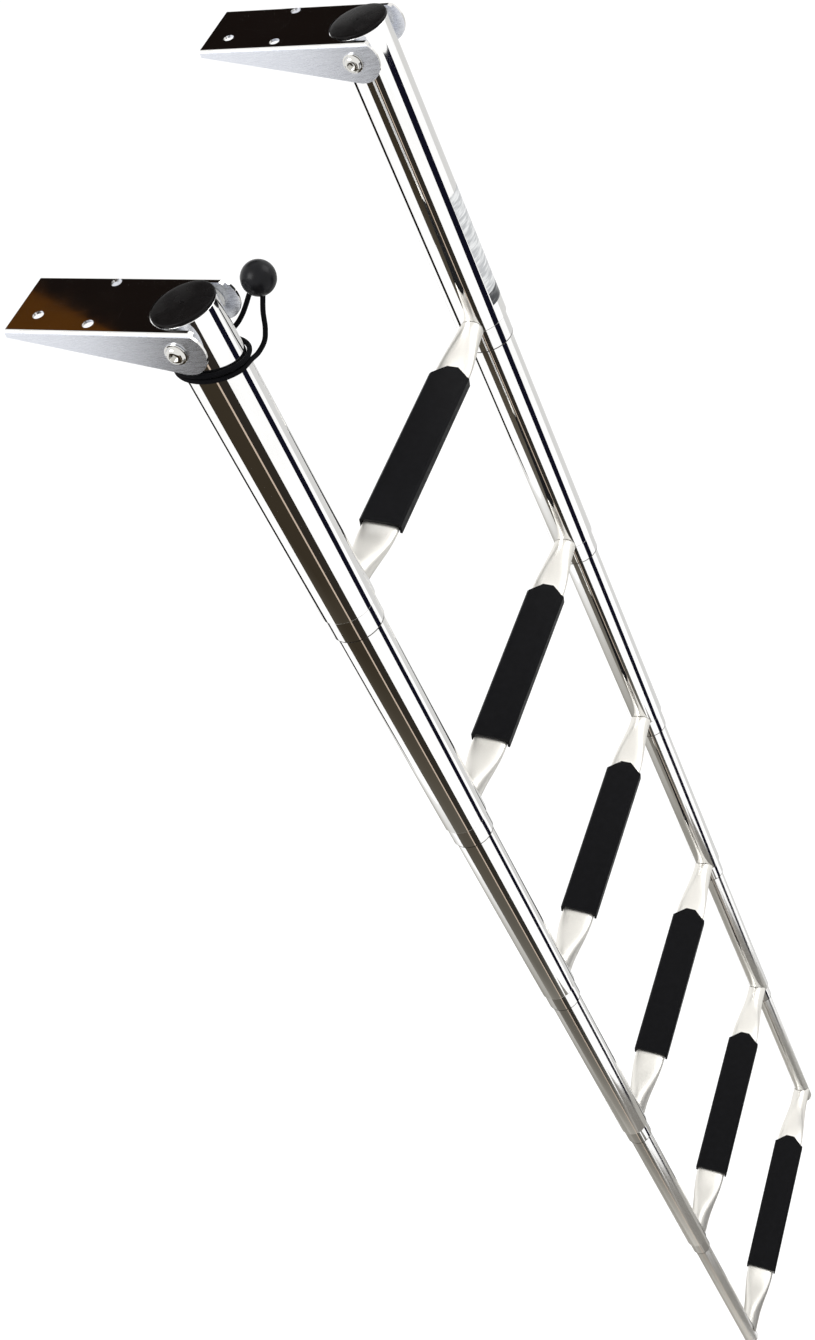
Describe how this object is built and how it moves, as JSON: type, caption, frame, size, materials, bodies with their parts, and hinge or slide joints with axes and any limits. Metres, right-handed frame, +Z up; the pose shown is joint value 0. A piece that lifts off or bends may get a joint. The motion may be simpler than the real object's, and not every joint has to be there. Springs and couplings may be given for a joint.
{
  "type": "telescoping boat boarding ladder",
  "caption": "Telescoping boarding ladder: nested polished tube rails with a flat step per section, hung from two sloped channel brackets on a folding hinge.",
  "frame": {"origin": "midway between the two brackets, on the sloping plane of their top faces, straight above the hinge line", "axes": "+Z up along the hanging rails, +Y inboard along the brackets, towards the boat, and +X along the hinge line from the left rail to the right rail"},
  "size_m": [0.4515, 0.1962, 1.8024],
  "materials": {
    "polished_steel": "mirror-polished stainless steel",
    "bracket_steel": "folded stainless sheet, polished plate and brushed cheeks",
    "fastener_steel": "polished stainless bolt and nut",
    "satin_steel": "satin stainless tube, flattened in the middle",
    "tread_plastic": "satin black moulded step cover",
    "black_plastic": "smooth black moulded plastic",
    "nylon": "pale nylon, between the moving metal pieces",
    "cord_fabric": "black braided sheath on an elastic core"
  },
  "bodies": {
    "brackets": {"left_bracket": "bracket_steel", "left_hinge_bolt": "fastener_steel", "left_hinge_nut": "fastener_steel", "left_head_washer": "nylon", "left_nut_washer": "nylon", "right_bracket": "bracket_steel", "right_hinge_bolt": "fastener_steel", "right_hinge_nut": "fastener_steel", "right_head_washer": "nylon", "right_nut_washer": "nylon"},
    "section_1": {"left_tube_1": "polished_steel", "right_tube_1": "polished_steel", "rung_1": "satin_steel", "tread_1": "tread_plastic", "left_collar_1": "polished_steel", "right_collar_1": "polished_steel", "left_top_cap": "black_plastic", "right_top_cap": "black_plastic", "bungee_cord": "cord_fabric", "bungee_ball": "black_plastic"},
    "section_2": {"left_tube_2": "polished_steel", "right_tube_2": "polished_steel", "rung_2": "satin_steel", "tread_2": "tread_plastic", "left_collar_2": "polished_steel", "right_collar_2": "polished_steel", "left_guide_2": "nylon", "right_guide_2": "nylon"},
    "section_3": {"left_tube_3": "polished_steel", "right_tube_3": "polished_steel", "rung_3": "satin_steel", "tread_3": "tread_plastic", "left_collar_3": "polished_steel", "right_collar_3": "polished_steel", "left_guide_3": "nylon", "right_guide_3": "nylon"},
    "section_4": {"left_tube_4": "polished_steel", "right_tube_4": "polished_steel", "rung_4": "satin_steel", "tread_4": "tread_plastic", "left_collar_4": "polished_steel", "right_collar_4": "polished_steel", "left_guide_4": "nylon", "right_guide_4": "nylon"},
    "section_5": {"left_tube_5": "polished_steel", "right_tube_5": "polished_steel", "rung_5": "satin_steel", "tread_5": "tread_plastic", "left_collar_5": "polished_steel", "right_collar_5": "polished_steel", "left_guide_5": "nylon", "right_guide_5": "nylon"},
    "section_6": {"left_tube_6": "polished_steel", "right_tube_6": "polished_steel", "rung_6": "satin_steel", "tread_6": "tread_plastic", "left_guide_6": "nylon", "right_guide_6": "nylon", "left_end_plug": "polished_steel", "right_end_plug": "polished_steel"}
  },
  "joints": [
    {"name": "fold", "type": "hinge", "parent": "brackets", "child": "section_1", "pos_m": [0, 0, -0.01714], "axis": [1, 0, 0], "range_deg": [0, 66]},
    {"name": "slide_2", "type": "slide", "parent": "section_1", "child": "section_2", "axis": [0, 0, 1], "range_m": [0, 0.238]},
    {"name": "slide_3", "type": "slide", "parent": "section_2", "child": "section_3", "axis": [0, 0, 1], "range_m": [0, 0.238]},
    {"name": "slide_4", "type": "slide", "parent": "section_3", "child": "section_4", "axis": [0, 0, 1], "range_m": [0, 0.238]},
    {"name": "slide_5", "type": "slide", "parent": "section_4", "child": "section_5", "axis": [0, 0, 1], "range_m": [0, 0.238]},
    {"name": "slide_6", "type": "slide", "parent": "section_5", "child": "section_6", "axis": [0, 0, 1], "range_m": [0, 0.238]}
  ]
}
